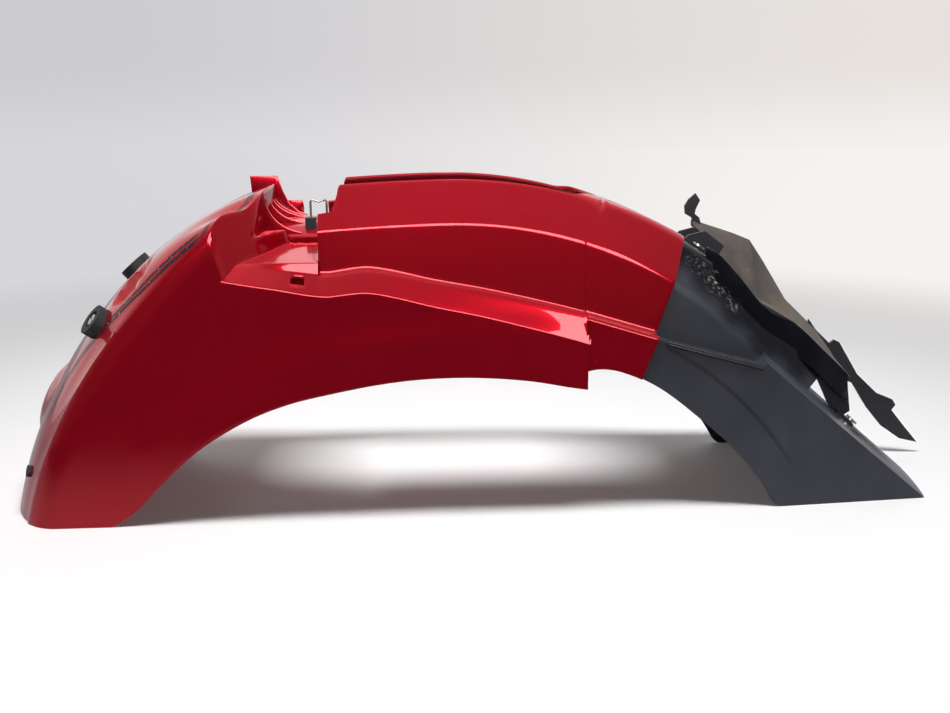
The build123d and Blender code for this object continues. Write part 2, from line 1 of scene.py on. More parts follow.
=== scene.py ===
import bpy
import bmesh
import math
import numpy as np
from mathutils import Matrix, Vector


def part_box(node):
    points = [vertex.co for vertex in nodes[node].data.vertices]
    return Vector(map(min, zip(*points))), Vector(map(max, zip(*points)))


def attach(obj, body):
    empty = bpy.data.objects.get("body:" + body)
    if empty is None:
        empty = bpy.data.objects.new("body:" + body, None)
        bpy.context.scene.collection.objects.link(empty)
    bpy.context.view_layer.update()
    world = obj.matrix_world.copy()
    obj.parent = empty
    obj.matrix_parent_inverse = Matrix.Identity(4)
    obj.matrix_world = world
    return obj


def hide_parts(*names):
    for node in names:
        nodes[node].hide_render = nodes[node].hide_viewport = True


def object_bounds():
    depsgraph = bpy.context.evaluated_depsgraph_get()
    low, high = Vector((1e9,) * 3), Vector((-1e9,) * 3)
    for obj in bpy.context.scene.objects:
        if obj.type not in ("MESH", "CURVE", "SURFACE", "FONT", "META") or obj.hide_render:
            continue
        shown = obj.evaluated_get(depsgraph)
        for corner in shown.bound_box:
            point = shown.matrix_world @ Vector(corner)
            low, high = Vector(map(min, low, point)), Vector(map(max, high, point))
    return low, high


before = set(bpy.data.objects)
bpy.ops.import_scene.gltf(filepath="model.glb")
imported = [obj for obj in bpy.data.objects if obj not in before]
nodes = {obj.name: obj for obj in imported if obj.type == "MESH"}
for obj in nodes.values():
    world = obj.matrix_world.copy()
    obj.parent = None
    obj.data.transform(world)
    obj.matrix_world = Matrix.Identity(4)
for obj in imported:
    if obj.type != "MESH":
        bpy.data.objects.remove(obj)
cadBox = [list(v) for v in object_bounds()]

# lengths are millimetres round the wheel axle, as on the drawing; toPart moves them to the part's own origin
drawing = dict(axleX=-65.5, axleZ=-66.0, guardTipX=503.0)
originShift = drawing["guardTipX"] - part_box("splash_guard")[1].x * 1000


def toPart(points):
    p = np.asarray(points, float) - np.array([originShift, 0.0, 0.0])
    return p / 1000


def smoothStep(a, b, x):
    t = np.clip((np.asarray(x, float) - a) / (b - a), 0, 1)
    return t * t * (3 - 2 * t)


def smoothLine(points):
    # a smooth curve through the points, as a function of x
    px = np.array([p[0] for p in points], float)
    pz = np.array([p[1] for p in points], float)
    slope = np.gradient(pz, px)

    def at(x):
        x = np.clip(np.asarray(x, float), px[0], px[-1])
        i = np.clip(np.searchsorted(px, x) - 1, 0, len(px) - 2)
        h = px[i + 1] - px[i]
        t = (x - px[i]) / h
        a = (2 * t**3 - 3 * t**2 + 1) * pz[i] + (t**3 - 2 * t**2 + t) * h * slope[i]
        return a + (-2 * t**3 + 3 * t**2) * pz[i + 1] + (t**3 - t**2) * h * slope[i + 1]

    return at


def roundedProfile(points, radii, arcSteps, lineSteps):
    # a broken line with each inner corner rounded, always with the same number of points
    p = [np.array(q, float) for q in points]
    arcs = []
    for i in range(1, len(p) - 1):
        a, b = p[i - 1] - p[i], p[i + 1] - p[i]
        la, lb = np.linalg.norm(a) + 1e-9, np.linalg.norm(b) + 1e-9
        a, b = a / la, b / lb
        turn = math.pi - math.acos(max(-1, min(1, float(a @ b))))
        t = min(radii[i - 1] * math.tan(turn / 2), 0.45 * la, 0.45 * lb)
        start, end = p[i] + a * t, p[i] + b * t
        n = arcSteps[i - 1]
        arcs.append([(1 - k / n) ** 2 * start + 2 * k / n * (1 - k / n) * p[i] + (k / n) ** 2 * end
                     for k in range(n + 1)])
    arcs.append([p[-1]])
    out, last = [p[0]], p[0]
    for q, n in zip(arcs, lineSteps):
        for k in range(1, n + 1):
            out.append(last + (q[0] - last) * k / n)
        out.extend(q[1:])
        last = q[-1]
    return np.array(out)


def newPiece(name, data):
    piece = bpy.data.objects.new(name, data)
    bpy.context.scene.collection.objects.link(piece)
    return piece


def sheetMesh(name, grids, weld=0.08):
    # grids are arrays of points, some with a mask of squares left open; touching edges are welded
    mesh = bpy.data.meshes.new(name)
    verts, faces, base = [], [], 0
    for entry in grids:
        g, drop = entry if isinstance(entry, tuple) else (entry, None)
        n, m = g.shape[:2]
        verts.append(toPart(g.reshape(-1, 3)))
        i, j = np.meshgrid(np.arange(n - 1), np.arange(m - 1), indexing="ij")
        a = (base + i * m + j).ravel()
        quads = np.stack([a, a + 1, a + m + 1, a + m], 1)
        faces.append(quads if drop is None else quads[~drop.ravel()])
        base += n * m
    mesh.from_pydata(np.concatenate(verts).tolist(), [], np.concatenate(faces).tolist())
    b = bmesh.new()
    b.from_mesh(mesh)
    bmesh.ops.remove_doubles(b, verts=b.verts, dist=weld / 1000)
    bmesh.ops.dissolve_degenerate(b, dist=1e-6, edges=b.edges)
    bmesh.ops.recalc_face_normals(b, faces=b.faces)
    if sum(f.normal.z * f.calc_area() for f in b.faces) < 0:
        bmesh.ops.reverse_faces(b, faces=b.faces)
    b.to_mesh(mesh)
    b.free()
    return newPiece(name, mesh)


def plateMesh(name, plates):
    # each plate is an outline in x and z, from one y to another
    b = bmesh.new()
    for outline, y0, y1 in plates:
        near = [b.verts.new(toPart([[x, y0, z]])[0]) for x, z in outline]
        far = [b.verts.new(toPart([[x, y1, z]])[0]) for x, z in outline]
        b.faces.new(near)
        b.faces.new(far[::-1])
        for k in range(len(outline)):
            b.faces.new([near[k - 1], near[k], far[k], far[k - 1]])
    bmesh.ops.recalc_face_normals(b, faces=b.faces)
    mesh = bpy.data.meshes.new(name)
    b.to_mesh(mesh)
    b.free()
    return newPiece(name, mesh)


def keepInBox(mesh):
    at = np.zeros(len(mesh.vertices) * 3)
    mesh.vertices.foreach_get("co", at)
    at = np.clip(at.reshape(-1, 3), np.array(cadBox[0]), np.array(cadBox[1]))
    mesh.vertices.foreach_set("co", at.ravel())
    mesh.update()


def looseEdges(mesh):
    b = bmesh.new()
    b.from_mesh(mesh)
    count = sum(1 for e in b.edges if len(e.link_faces) != 2)
    b.free()
    return count


def finishMesh(piece, thick=None, bevel=0.0, sharp=40):
    # thickness inward, small rounds on the rims, then the modifiers become the mesh
    if thick:
        m = piece.modifiers.new("thickness", "SOLIDIFY")
        m.thickness, m.offset, m.use_even_offset, m.use_quality_normals = thick / 1000, -1, False, True
    if bevel:
        m = piece.modifiers.new("rounds", "BEVEL")
        m.width, m.segments, m.limit_method, m.angle_limit = bevel / 1000, 2, "ANGLE", math.radians(sharp)
        m.use_clamp_overlap = True
    graph = bpy.context.evaluated_depsgraph_get()
    mesh = bpy.data.meshes.new_from_object(piece.evaluated_get(graph))
    piece.modifiers.clear()
    piece.data = mesh
    mesh.shade_smooth()
    mesh.set_sharp_from_angle(angle=math.radians(sharp))
    keepInBox(mesh)
    print(piece.name, "edges open", looseEdges(mesh))
    return piece


# the painted moulding: a tail swept round the axle, a nose with a stepped hollow behind it, then the tunnel
tail = dict(radius=390.0, flat=6.5, flatFrom=112.0, flatTo=186.0, halfWidth=105.0, shoulder=60.0,
            endAngle=176.0, spanAngle=68.0, roundPower=1.9, squareGain=7.95, squareRise=5.58,
            blendRadius=345.0, noseAngle=113.0, dip=9.5, dipY=71.0, dipBreadth=15.6, dipLength=30.0,
            degreeLength=6.8)
nose = dict(radius=240.0, tipX=-189.0, cornerX=-171.4, cornerY=45.0, cornerZ=253.3, sweep=1.025, lean=0.279,
            maxY=130.0, blend=3.0, lipZ=265.0, lipFall=4.1, lipRun=27.0, lipEndY=78.0)
deck = dict(half=45.0, edgeZ=258.7, camber=15.0, endX=-140.0)
tunnel = dict(startX=-143.0, topX=-20.0, topZ=315.0, startDrop=6.0, arc=442.0, topHalf=52.0, creaseHalf=80.0,
              creaseDepth=42.0, baseHalf=92.0, baseDepth=150.0, topRound=14.0, creaseRound=7.0,
              creaseRoundFront=34.0, roundFrom=20.0, roundTo=260.0, slotHalf=54.0, slotEnd=122.0,
              slotRound=34.0, skirtEnd=101.0,
              notchZ=[283, 298, 304, 315], notchX=[-131, -126, -125, -118])
shelf = dict(rise=13.0, riseGain=12.0, fromX=-243.0, length=344.0, breadth=13.0, rounds=[2.6, 2.2, 4.0])
frontSide = dict(half=102.0, rimDrop=3.0, rimBreadth=2.5, ridgeX=[101, 162, 271], ridgeZ=[190.5, 172, 142])
hollow = dict(stripX=[-218, -134], stripZ=[239.6, 229.6], stripBreadth=13.6, ledgeY=88.4, ledgeZ=240.2,
              rounds=[2.6, 1.2, 1.6], startX=-215.0, maxY=104.9, minZ=227.7, edgeY=103.2)
swageBand = dict(x=[-330, -311, -251, -178, -89, 1, 56, 101], z=[58, 74, 120, 160, 177, 183, 180, 168],
                 proud=1.5, below=-16, above=12, rearX=(-330, -270), frontX=(40, 98))
seam = dict(x=102.5, lean=0.38)
wall = dict(thick=3.0, rimRound=0.9, sharp=34)
steps = dict(side=24, crown=121, top=46, rear=62, front=26, hollow=26)
archRear = smoothLine([(-345, -2), (-335, 1.2), (-327, 6), (-312, 17), (-295, 35), (-275, 55), (-255, 72),
                       (-231, 88), (-207, 101), (-173, 114), (-135, 123), (-58, 135), (0, 136), (47, 132),
                       (97, 123), (101, 122.5)])
archFront = smoothLine([(101, 139), (108, 140.5), (120, 140.5), (143, 134), (175, 117), (203, 96), (229, 71),
                        (251, 46), (269, 23), (279, 10), (286, 3.5), (294, 0.5), (300, 0)])
shelfEdge = smoothLine([(-229, 227.7), (-215, 224.8), (-180, 219), (-141, 212.4), (-134, 212), (-125, 213),
                        (-104, 215), (-97, 214.9), (-90, 213.8), (-35, 200.6), (1, 193), (35, 184.5),
                        (93, 168), (101, 165.5)])


def power(angle):
    # how square the section is: round at the tail's end, boxy towards the nose
    turned = np.clip((tail["endAngle"] - angle) / tail["spanAngle"], 0, 1.05)
    return tail["roundPower"] + tail["squareGain"] * turned ** tail["squareRise"]


def reach(angle):
    # distance of the crown from the axle, a little flatter in the middle of the sweep
    share = np.clip((angle - tail["flatFrom"]) / (tail["flatTo"] - tail["flatFrom"]), 0, 1)
    return tail["radius"] - tail["flat"] * np.sin(np.pi * share) ** 2


def cylinderX(y):
    return nose["tipX"] - nose["radius"] + math.sqrt(nose["radius"] ** 2 - min(abs(y), nose["maxY"]) ** 2)


def planeX(y, z):
    return nose["cornerX"] - nose["sweep"] * (abs(y) - nose["cornerY"]) - nose["lean"] * (z - nose["cornerZ"])


def lipZ(y):
    return nose["lipZ"] - nose["lipFall"] * (abs(y) - nose["cornerY"]) / nose["lipRun"]


def noseX(y, z):
    # the cylinder in the middle and a swept plane at each side, blended where they meet
    a, b = cylinderX(y), planeX(y, z)
    blend = nose["blend"]
    if abs(a - b) < blend:
        return min(a, b) - (blend - abs(a - b)) ** 2 / (4 * blend)
    return min(a, b)


def crownPoint(phi, angle, dipShare=0.0):
    # phi 90 degrees is the middle line, smaller towards the side; angle goes round the axle
    p = float(power(angle))
    rise = max(math.sin(phi), 0) ** (2 / p)
    y = tail["halfWidth"] * max(math.cos(phi), 0) ** (2 / p)
    r = float(reach(angle)) - tail["shoulder"] * (1 - rise)
    r -= tail["dip"] * dipShare * math.exp(-((y - tail["dipY"]) / tail["dipBreadth"]) ** 2)
    a = math.radians(angle)
    return np.array([drawing["axleX"] + r * math.cos(a), -y, drawing["axleZ"] + r * math.sin(a)]), r, y


def phiOn(share, angle):
    edgeRise = 1 - (tail["radius"] - tail["blendRadius"]) / tail["shoulder"]
    low = math.asin(edgeRise ** (float(power(angle)) / 2))
    return math.pi / 2 - (math.pi / 2 - low) * share


def noseEnd(share):
    # the angle at which a line along the tail meets the nose
    high = tail["noseAngle"]
    for _ in range(30):
        point, r, y = crownPoint(phiOn(share, high), high, 1.0)
        target = math.degrees(math.acos((noseX(y, point[2]) - drawing["axleX"]) / r))
        high = 0.5 * high + 0.5 * target
    return high, y


def shareAt(y):
    # which line along the tail ends at this y, found by halving
    a, b = 0.0, 1.12
    for _ in range(26):
        m = (a + b) / 2
        if noseEnd(m)[1] < y:
            a = m
        else:
            b = m
    return (a + b) / 2


def crownRow(share, columns):
    # one line along the tail, from the lower edge to the nose
    low = 170.0
    for _ in range(12):
        r = crownPoint(phiOn(share, low), low)[1]
        low = 180 - math.degrees(math.asin(-drawing["axleZ"] / r))
    high = noseEnd(share)[0]
    row = []
    for s in np.linspace(0, 1, columns):
        angle = low + (high - low) * s
        back = (angle - high) * tail["degreeLength"] / tail["dipLength"]
        row.append(crownPoint(phiOn(share, angle), angle, math.exp(-back * back))[0])
    return np.array(row)


def sideY(x, z):
    # half-breadth of the side of the tail: flat low down, rounding in above the shoulder
    r = np.hypot(x - drawing["axleX"], z - drawing["axleZ"])
    a = np.degrees(np.arctan2(z - drawing["axleZ"], x - drawing["axleX"]))
    p = power(a)
    over = np.clip((r - (tail["radius"] - tail["shoulder"])) / tail["shoulder"], 0, 0.999)
    return tail["halfWidth"] * (1 - over**p) ** (1 / p)


def shelfRise(x):
    return shelf["rise"] + shelf["riseGain"] * np.clip((x - shelf["fromX"]) / shelf["length"], 0, 1)


def ridgeZ(x):
    return float(np.interp(x, frontSide["ridgeX"], frontSide["ridgeZ"]))


def tunnelTop(x):
    t, x = tunnel, float(x)
    if x < t["topX"]:
        return t["topZ"] - t["startDrop"] * ((t["topX"] - x) / (t["topX"] - t["startX"])) ** 1.6
    return t["topZ"] - t["arc"] + math.sqrt(t["arc"] ** 2 - (x - t["topX"]) ** 2)


def ringDrop(x, depth):
    # height of a line that runs below the tunnel's top line, square to it
    if x < tunnel["topX"]:
        return tunnelTop(x) - depth
    r = tunnel["arc"] - depth
    return tunnel["topZ"] - tunnel["arc"] + math.sqrt(max(r * r - (x - tunnel["topX"]) ** 2, 1.0))


def tunnelStart(z):
    # the tunnel's rear edge steps forward above the clip
    if z < tunnel["notchZ"][0] - 1:
        return tunnel["startX"]
    return float(np.interp(z, tunnel["notchZ"], tunnel["notchX"]))


def seamAt(z):
    return seam["x"] + seam["lean"] * z


def slotHalf(x):
    # half-breadth of the roof's slot, which closes as an ellipse
    t = tunnel
    if x > t["slotEnd"]:
        return 0.0
    bend = t["slotEnd"] - t["slotRound"]
    if x <= bend:
        return t["slotHalf"]
    return t["slotHalf"] * math.sqrt(max(1 - ((x - bend) / t["slotRound"]) ** 2, 0))


def cutAtY(profile, half, count):
    # keeps the stretch outside the slot and spreads its points evenly
    y = profile[:, 0]
    if half > 0:
        k = int(np.argmax(y < half))
        if y[k] < half:
            a, b = profile[k - 1], profile[k]
            s = (a[0] - half) / (a[0] - b[0])
            profile = np.vstack([profile[:k], a + (b - a) * s])
    length = np.r_[0, np.cumsum(np.hypot(*np.diff(profile, axis=0).T))]
    at = np.linspace(0, length[-1], count)
    return np.stack([np.interp(at, length, profile[:, 0]), np.interp(at, length, profile[:, 1])], 1)


def swage(x, z):
    # slightly proud band under a swept line along the skirt
    b = swageBand
    line = np.interp(x, b["x"], b["z"])
    ends = smoothStep(*b["rearX"], x) * (1 - smoothStep(*b["frontX"], x))
    return b["proud"] * smoothStep(b["below"], b["above"], line - z) * ends


sideRows = steps["side"]
lowRows = sideRows + 4 + 5 + 5                             # the rows up to the shelf's inner corner


def redStation(x):
    # half section of the moulding beside the tunnel, from the skirt's edge up to the slot or the ridge
    if x > tunnel["skirtEnd"]:
        bottom, side, upper = float(archFront(x)), frontSide["half"], ridgeZ(x)
        rim, upperY = (side, upper - frontSide["rimDrop"]), side - frontSide["rimBreadth"]
    else:
        bottom, edge, side = float(archRear(x)), float(shelfEdge(x)), tail["halfWidth"]
        upper = float(edge + shelfRise(x))
        rim, upperY = (side, edge), side - shelf["breadth"]
    crease, base = ringDrop(x, tunnel["creaseDepth"]), ringDrop(x, tunnel["baseDepth"])
    creaseY = tunnel["creaseHalf"]
    footY = creaseY + (tunnel["baseHalf"] - creaseY) * (crease - upper) / (crease - base)
    footY = min(footY, upperY - 1.0)
    opening = float(smoothStep(tunnel["roundFrom"], tunnel["roundTo"], x))
    creaseRound = tunnel["creaseRound"] + (tunnel["creaseRoundFront"] - tunnel["creaseRound"]) * opening
    lower = roundedProfile([(side, bottom), rim, (upperY, upper), (footY, upper), (creaseY, crease)],
                           shelf["rounds"], [5, 4, 5], [sideRows - 1, 5, 2, 12])[:-1]
    ridge = (0.0, tunnelTop(x) + 0.6)
    top = roundedProfile([tuple(lower[-1]), (creaseY, crease), (tunnel["topHalf"], tunnelTop(x)), ridge],
                         [creaseRound, tunnel["topRound"]], [12, 14], [1, 30, 14])
    return np.vstack([lower, cutAtY(top, slotHalf(x), steps["top"])[1:]])


def recessStation(x):
    # half section beside the deck: skirt, sloping strip, ledge
    bottom, edge, side = float(archRear(x)), float(shelfEdge(x)), tail["halfWidth"]
    upper = float(np.interp(x, hollow["stripX"], hollow["stripZ"]))
    points = [(side, bottom), (side, edge), (side - hollow["stripBreadth"], upper),
              (hollow["ledgeY"], hollow["ledgeZ"]), (deck["half"], nose["cornerZ"])]
    return roundedProfile(points, hollow["rounds"], [5, 2, 4], [sideRows - 1, 5, 2, 12])


def stationSheet(station, columns, xOf):
    # xOf gives the x of a station's point at height z, so that stations may lean
    rows = []
    for c in np.linspace(0.0, 1.0, columns):
        prof = station(xOf(c, 200.0))
        z = prof[:, 1].copy()
        for _ in range(4):
            xs = np.array([xOf(c, v) for v in z])
            if np.ptp(xs) < 0.01:
                break
            keys = np.linspace(xs.min(), xs.max(), 12)
            stack = np.array([station(k) for k in keys])
            y = np.array([np.interp(xs[i], keys, stack[:, i, 0]) for i in range(len(z))])
            z = np.array([np.interp(xs[i], keys, stack[:, i, 1]) for i in range(len(z))])
            prof = np.stack([y, z], 1)
        xs = np.array([xOf(c, v) for v in prof[:, 1]])
        rows.append(np.stack([xs, -prof[:, 0], prof[:, 1]], 1))
    return np.array(rows)


def behindStep(share, z):
    return tunnelStart(z) + (tunnel["skirtEnd"] - tunnelStart(z)) * share


def beforeStep(share, z):
    start = tunnel["skirtEnd"] + 1e-4
    return start + (seamAt(z) - start) * share


print("red moulding: tunnel and skirt")
saddleRear = stationSheet(redStation, steps["rear"], behindStep)
saddleFront = stationSheet(redStation, steps["front"], beforeStep)
skirtStep = np.stack([saddleRear[-1][:lowRows], saddleFront[0][:lowRows]])

shares = np.r_[0, np.linspace(0.03, 1, steps["hollow"])]
recess = np.zeros((len(shares), len(recessStation(hollow["startX"])), 3))
for j in range(recess.shape[1]):
    y, z = recessStation(hollow["startX"])[j]
    for _ in range(5):
        start = planeX(min(y, hollow["maxY"]), max(z, hollow["minZ"]))
        y, z = recessStation(start)[j]
    for i, u in enumerate(shares):
        x = start + (tunnel["startX"] - start) * u
        y, z = recessStation(x)[j]
        recess[i, j] = x, -y, z
print("recess", recess.shape)

firstColumn = recess[0]
turn = int(np.argmax(-firstColumn[:, 1] < hollow["edgeY"]))   # first row past the strip's lower edge
innerY = np.linspace(0, deck["half"], 14)
noseY = np.r_[innerY[:-1], -firstColumn[turn:, 1][::-1]]
crown = np.array([crownRow(shareAt(y), steps["crown"]) for y in noseY])
print("crown", crown.shape)

# the nose wall: down to the deck in the middle, and by a lip and a step down to the ledge at the sides
rim = crown[:, -1]
middle, halfDeck, deckEnd = len(innerY), deck["half"], deck["endX"]
deckZ = deck["edgeZ"] + deck["camber"] * (1 - (innerY / halfDeck) ** 2)
innerWall = np.array([[[cylinderX(y), -y, rim[k, 2] + (deckZ[k] - rim[k, 2]) * s]
                       for s in np.linspace(0, 1, 8)] for k, y in enumerate(innerY)])
innerWall[:, 0] = rim[:middle]
outerWall = []
for k in range(middle - 1, len(noseY)):
    foot = firstColumn[::-1][k - (middle - 1)]
    y, top = noseY[k], rim[k, 2]
    lip = min(lipZ(y), top - 0.5) if y < nose["lipEndY"] else top - 0.5 * (top - foot[2])
    column = [[noseX(y, z), -y, z] for z in np.linspace(top, lip, 7)]
    column += [[planeX(y, z), -y, z] for z in np.linspace(lip, foot[2], 6)]
    column[0], column[-1] = list(rim[k]), list(foot)
    outerWall.append(column)
outerWall = np.array(outerWall)
lipSide = np.array([[[cylinderX(halfDeck), -halfDeck, z], [planeX(halfDeck, z), -halfDeck, z]]
                    for z in (deck["edgeZ"], lipZ(halfDeck))])
along = np.linspace(0, 1, 12)
deckGrid = np.array([[[cylinderX(y) + (deckEnd - cylinderX(y)) * u, -y, z] for u in along]
                     for y, z in zip(innerY, deckZ)])
deckSide = np.array([[[planeX(halfDeck, z) + (deckEnd - planeX(halfDeck, z)) * u, -halfDeck, z]
                      for u in along] for z in (nose["cornerZ"], deck["edgeZ"])])

# side of the tail between the shoulder, the floor and the arch, drawn as one four-sided patch
noseEdge = np.vstack([outerWall[-1], firstColumn[:turn][::-1]])
right, top = noseEdge[:, [0, 2]], crown[-1][:, [0, 2]]
archX = np.r_[np.linspace(-342, -325, 12), np.linspace(-323, right[-1, 0], 60)]   # closer at the toe
archLine = np.stack([archX, np.maximum(archRear(archX), 0)], 1)
archLine[0, 1] = 0
run = np.r_[0, np.cumsum(np.hypot(*np.diff(archLine, axis=0).T))]
along, down = np.linspace(0, 1, steps["crown"]), np.linspace(0, 1, len(right))
foot = np.stack([np.interp(along * run[-1], run, archLine[:, k]) for k in (0, 1)], 1)
left = top[0] + (foot[0] - top[0]) * down[:, None]
foot[-1] = right[-1]
d, a = (v[..., None] for v in np.meshgrid(down, along, indexing="ij"))
patch = ((1 - d) * top[None] + d * foot[None] + (1 - a) * left[:, None] + a * right[:, None]
         - (1 - d) * (1 - a) * top[0] - (1 - d) * a * top[-1] - d * (1 - a) * foot[0] - d * a * foot[-1])
tailSide = np.stack([patch[..., 0], -sideY(patch[..., 0], patch[..., 1]), patch[..., 1]], -1)
tailSide[0] = crown[-1]
tailSide[:, -1] = noseEdge
print("tail side", tailSide.shape)


def mirrored(grid):
    return grid * np.array([1, -1, 1.0])


def swelled(grid):
    out = grid.copy()
    out[..., 1] -= np.where(np.abs(grid[..., 1]) > 99, swage(grid[..., 0], grid[..., 2]), 0)
    return out


marks = dict(scoopAngle=130.6, scoopY=66.0, scoopLength=29.0, scoopBreadth=15.0, scoopDepth=10.5,
             scoopRadius=388, scoopStretch=1.06, scoopFall=0.62, humpAngle=154.5, humpLength=39.0,
             humpBreadth=27.0, humpHeight=8.0, humpRadius=390, humpFall=0.75)


def crownDetails(grid):
    # hollows for the lamp screws and the hump for the wires, pressed square to the crown
    out = grid.copy()
    m = marks
    dx, dz = grid[..., 0] - drawing["axleX"], grid[..., 2] - drawing["axleZ"]
    r, a = np.hypot(dx, dz), np.degrees(np.arctan2(dz, dx))
    u = np.radians(m["scoopAngle"] - a) * m["scoopRadius"]
    v = (np.abs(grid[..., 1]) - m["scoopY"]) * m["scoopStretch"]
    q = (u / m["scoopLength"]) ** 2 + (v / m["scoopBreadth"]) ** 2
    pit = m["scoopDepth"] * np.clip(1 - q, 0, 1) ** m["scoopFall"]
    u = np.radians(m["humpAngle"] - a) * m["humpRadius"]
    q = (u / m["humpLength"]) ** 2 + (grid[..., 1] / m["humpBreadth"]) ** 2
    k = (r + m["humpHeight"] * np.clip(1 - q, 0, 1) ** m["humpFall"] - pit) / r
    out[..., 0], out[..., 2] = drawing["axleX"] + dx * k, drawing["axleZ"] + dz * k
    return out


# the shelf's slot: squares left open in the sloping strip
shelfSlot = dict(low=-167.5, high=-156.0, firstRow=sideRows + 6, lastRow=sideRows + 8)
stripX = recess[:, shelfSlot["firstRow"], 0]
openSquares = np.zeros((recess.shape[0] - 1, recess.shape[1] - 1), bool)
for i in range(recess.shape[0] - 1):
    if shelfSlot["low"] < (stripX[i] + stripX[i + 1]) / 2 < shelfSlot["high"]:
        openSquares[i, shelfSlot["firstRow"]: shelfSlot["lastRow"]] = True

grids = []
for turned in (lambda g: g, mirrored):
    for g in (crownDetails(crown), swelled(tailSide), swelled(saddleRear), swelled(saddleFront), skirtStep,
              innerWall, outerWall, lipSide, deckGrid, deckSide):
        grids.append(turned(g))
    grids.append((turned(swelled(recess)), openSquares))
red = sheetMesh("painted_moulding", grids)
finishMesh(red, thick=wall["thick"], bevel=wall["rimRound"], sharp=wall["sharp"])
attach(red, "root")
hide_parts("rear_mudguard")
print("painted moulding", len(red.data.polygons))

strap = dict(angles=[112, 119.5, 123, 125.5, 129.5, 135.5, 138.5, 142.5, 147.5, 151, 160],
             places=[97, 99.5, 98, 96.5, 93.5, 85.5, 80.5, 73.5, 67.5, 68, 68],
             crownRadius=332, crownEndX=-180)


def shellMarks(piece):
    # how far each point lies behind the nose rim and from the line that a strap has rubbed, in millimetres
    mesh = piece.data
    at = np.zeros(len(mesh.vertices) * 3)
    mesh.vertices.foreach_get("co", at)
    at = at.reshape(-1, 3) * 1000 + np.array([originShift, 0, 0])
    x, y, z = at.T
    angle = np.degrees(np.arctan2(z - drawing["axleZ"], x - drawing["axleX"]))
    r = np.hypot(x - drawing["axleX"], z - drawing["axleZ"])
    n, breadth = nose, np.abs(y)
    cylinder = n["tipX"] - n["radius"] + np.sqrt(n["radius"] ** 2 - np.minimum(breadth, n["maxY"]) ** 2)
    plane = n["cornerX"] - n["sweep"] * (breadth - n["cornerY"]) - n["lean"] * (z - n["cornerZ"])
    shoulder = -y - np.interp(angle, strap["angles"], strap["places"])
    onCrown = ((r > strap["crownRadius"]) & (x < strap["crownEndX"])).astype(float)
    back = np.minimum(cylinder, plane) - x
    values = dict(rimBack=back, strapLine=shoulder, crownAngle=angle, outer=onCrown)
    for name, value in values.items():
        layer = mesh.attributes.new(name, "FLOAT", "POINT")
        layer.data.foreach_set("value", value.astype(np.float32))


shellMarks(red)

# ribs, tab, web and flange behind the nose; each plate has an outline and the y of its two faces
ribs = dict(width=3.0, pitch=16.0, firstY=8.0, count=4, topZ=292.0, footX=-160.0, bevel=0.8, sharp=30)
tab = ([(-214, 311), (-190, 311), (-188.6, 300), (-189, 296), (-190, 288), (-212, 284)], 16.5, 19.5)
web = ([(-192, 311), (-187.5, 311), (-183, 296), (-177, 284), (-168, 276), (-160, 273.5), (-160, 270),
        (-192, 270)], 18.0, 21.0)
flange = ([(-188, 285), (-167, 285), (-165.5, 280), (-165.5, 259), (-188, 259)], 43.0, 46.0)
plates = []
for k in range(ribs["count"]):
    y = ribs["firstY"] - k * ribs["pitch"]
    x0, x1 = cylinderX(y), ribs["footX"]
    floorZ = deck["edgeZ"] + deck["camber"] * (1 - (y / deck["half"]) ** 2)
    curve = []
    for s in np.linspace(0, 1, 9):
        a, b, c = (1 - s) ** 2, 2 * s * (1 - s), s * s
        height = a * ribs["topZ"] + b * (floorZ + 5) + c * (floorZ + 0.4)
        curve.append((a * (x0 - 1) + b * (x0 + 5) + c * x1, height))
    foot = [(x1, floorZ - 1.5), (x0 - 1, floorZ - 1.5)]
    plates.append((curve + foot, y - ribs["width"] / 2, y + ribs["width"] / 2))
fittings = plateMesh("nose_ribs", plates + [tab, web, flange])
finishMesh(fittings, bevel=ribs["bevel"], sharp=ribs["sharp"])
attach(fittings, "root")
print("nose ribs", len(fittings.data.polygons))

# the splash guard's near side hangs down to the black moulding
guardSide = dict(topLine=[(222, 247), (234, 240), (252, 222), (287, 184), (314, 171), (347, 142), (374, 117)],
                 wellLine=[(212, 226), (228, 212), (281, 160), (330, 131), (366, 97)], y=-50.0, flare=7.0,
                 flareRise=1.6, fromX=222, toX=372, tuck=0.5, overlap=3.0, thick=2.2, bevel=0.5)
topLine, wellLine = smoothLine(guardSide["topLine"]), smoothLine(guardSide["wellLine"])
columns = []
for x in np.linspace(guardSide["fromX"], guardSide["toX"], 64):
    low = float(wellLine(x)) - guardSide["overlap"]
    high = max(float(topLine(x)) - guardSide["tuck"], low + 2)
    flare = [(u, guardSide["flare"] * u ** guardSide["flareRise"]) for u in np.linspace(0, 1, 9)]
    columns.append([[x, guardSide["y"] - out, high + (low - high) * u] for u, out in flare])
guardFlank = sheetMesh("guard_side", [np.array(columns)])
finishMesh(guardFlank, thick=guardSide["thick"], bevel=guardSide["bevel"])
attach(guardFlank, "root")


def beadAlong(name, points, radius):
    data = bpy.data.curves.new(name, "CURVE")
    data.dimensions, data.use_fill_caps = "3D", True
    data.bevel_depth, data.bevel_resolution = radius / 1000, 4
    line = data.splines.new("POLY")
    line.points.add(len(points) - 1)
    for k, p in enumerate(points):
        line.points[k].co = (*toPart([p])[0], 1)
    curve = newPiece(name + "_line", data)
    mesh = bpy.data.meshes.new_from_object(curve.evaluated_get(bpy.context.evaluated_depsgraph_get()))
    bpy.data.objects.remove(curve)
    mesh.shade_smooth()
    return newPiece(name, mesh)


